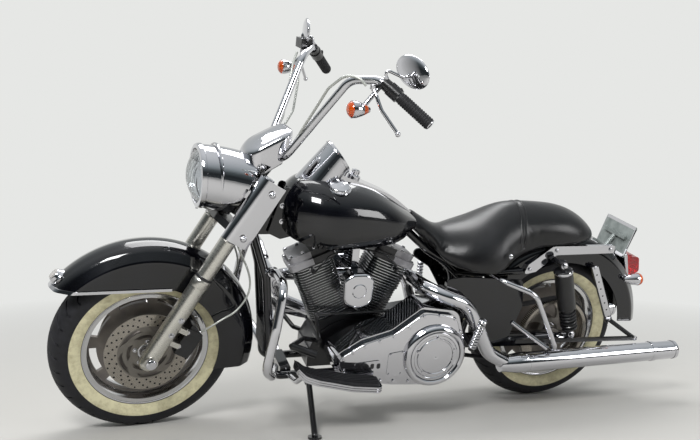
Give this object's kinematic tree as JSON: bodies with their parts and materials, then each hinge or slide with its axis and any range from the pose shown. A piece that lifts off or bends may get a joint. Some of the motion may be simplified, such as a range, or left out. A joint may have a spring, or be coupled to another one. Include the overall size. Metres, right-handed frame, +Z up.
{
  "type": "touring cruiser motorcycle",
  "caption": "Black and chrome touring cruiser motorcycle with whitewall tyres, high handlebar and two-up seat, leaning on its side stand with its bags taken off",
  "frame": {"origin": "Middle of the bounding box in plan, on the ground, with the bike parked on its side stand.", "axes": "+X to the rear of the bike, +Y to the rider's right, +Z up. The bike leans 16.4 degrees to its left and its fork is turned 5.6 degrees left."},
  "size_m": [2.4497, 1.0242, 1.507],
  "materials": {
    "gloss_black": "deep gloss black paint",
    "chrome": "polished chrome plate",
    "satin_alloy": "satin machined alloy",
    "cast_wheel": "cast alloy with polished rim edge",
    "rotor_steel": "ground steel",
    "satin_black": "satin black paint",
    "tyre_rubber": "black rubber with cream whitewall",
    "black_rubber": "ribbed black rubber",
    "seat_leather": "smooth black leather",
    "clear_lens": "clear fluted glass",
    "amber_lens": "amber lens in a chrome shell",
    "red_lens": "red lens",
    "plate_paint": "plain pale sheet",
    "cable_sleeve": "braided sleeve"
  },
  "bodies": {
    "chassis": {"air_cleaner": "chrome", "bag_rails": "chrome", "bag_supports": "satin_black", "board_pads": "black_rubber", "cam_cover": "chrome", "crankcase": "satin_black", "cylinders": "satin_black", "derby_cover": "chrome", "drive_belt": "black_rubber", "engine_guard": "chrome", "exhaust_pipes": "chrome", "fender_struts": "chrome", "foot_controls": "satin_black", "footboards": "chrome", "frame": "gloss_black", "fuel_tank": "gloss_black", "gearbox": "satin_black", "horn": "chrome", "mufflers": "chrome", "neck_covers": "gloss_black", "passenger_pegs": "satin_black", "plate_holder": "plate_paint", "primary_cover": "chrome", "rear_axle": "chrome", "rear_fender": "gloss_black", "rear_shocks": "satin_black", "rear_signals": "chrome", "regulator": "satin_black", "rocker_boxes": "satin_alloy", "seat": "seat_leather", "side_covers": "gloss_black", "swingarm": "gloss_black", "tail_lamp": "red_lens", "tank_console": "chrome"},
    "fork": {"fork_legs": "satin_alloy", "fork_clamps": "satin_black", "fork_covers": "chrome", "nacelle": "chrome", "headlamp_lens": "clear_lens", "handlebar": "chrome", "bar_clamp_cover": "chrome", "grips": "black_rubber", "hand_controls": "satin_black", "levers": "chrome", "mirrors": "chrome", "front_signals": "amber_lens", "front_fender": "gloss_black", "fender_trim": "chrome", "calipers": "satin_black", "front_axle": "chrome", "brake_hoses": "cable_sleeve", "bar_cables": "cable_sleeve"},
    "front_wheel_set": {"front_tyre": "tyre_rubber", "front_wheel": "cast_wheel", "front_rotors": "rotor_steel"},
    "rear_wheel_set": {"rear_tyre": "tyre_rubber", "rear_wheel": "cast_wheel", "rear_pulley": "rotor_steel", "rear_rotor": "rotor_steel"},
    "stand": {"side_stand": "satin_black"}
  },
  "joints": [
    {"name": "steering", "type": "hinge", "parent": "chassis", "child": "fork", "pos_m": [-0.61442, -0.00033, 0.85636], "axis": [0.4523, -0.2516, 0.8557], "range_deg": [-35.6, 24.4]},
    {"name": "front_wheel_spin", "type": "hinge", "parent": "fork", "child": "front_wheel_set", "pos_m": [-0.90388, 0.16067, 0.30873], "axis": [-0.0876, 0.9422, 0.3233], "continuous": true},
    {"name": "rear_wheel_spin", "type": "hinge", "parent": "chassis", "child": "rear_wheel_set", "pos_m": [0.70812, 0.16067, 0.31195], "axis": [-0.0006, 0.9593, 0.2823], "continuous": true},
    {"name": "stand_fold", "type": "hinge", "parent": "chassis", "child": "stand", "pos_m": [-0.32057, 0.07346, 0.15288], "axis": [0.0225, -0.5794, 0.8147], "range_deg": [0, 91.1]}
  ]
}
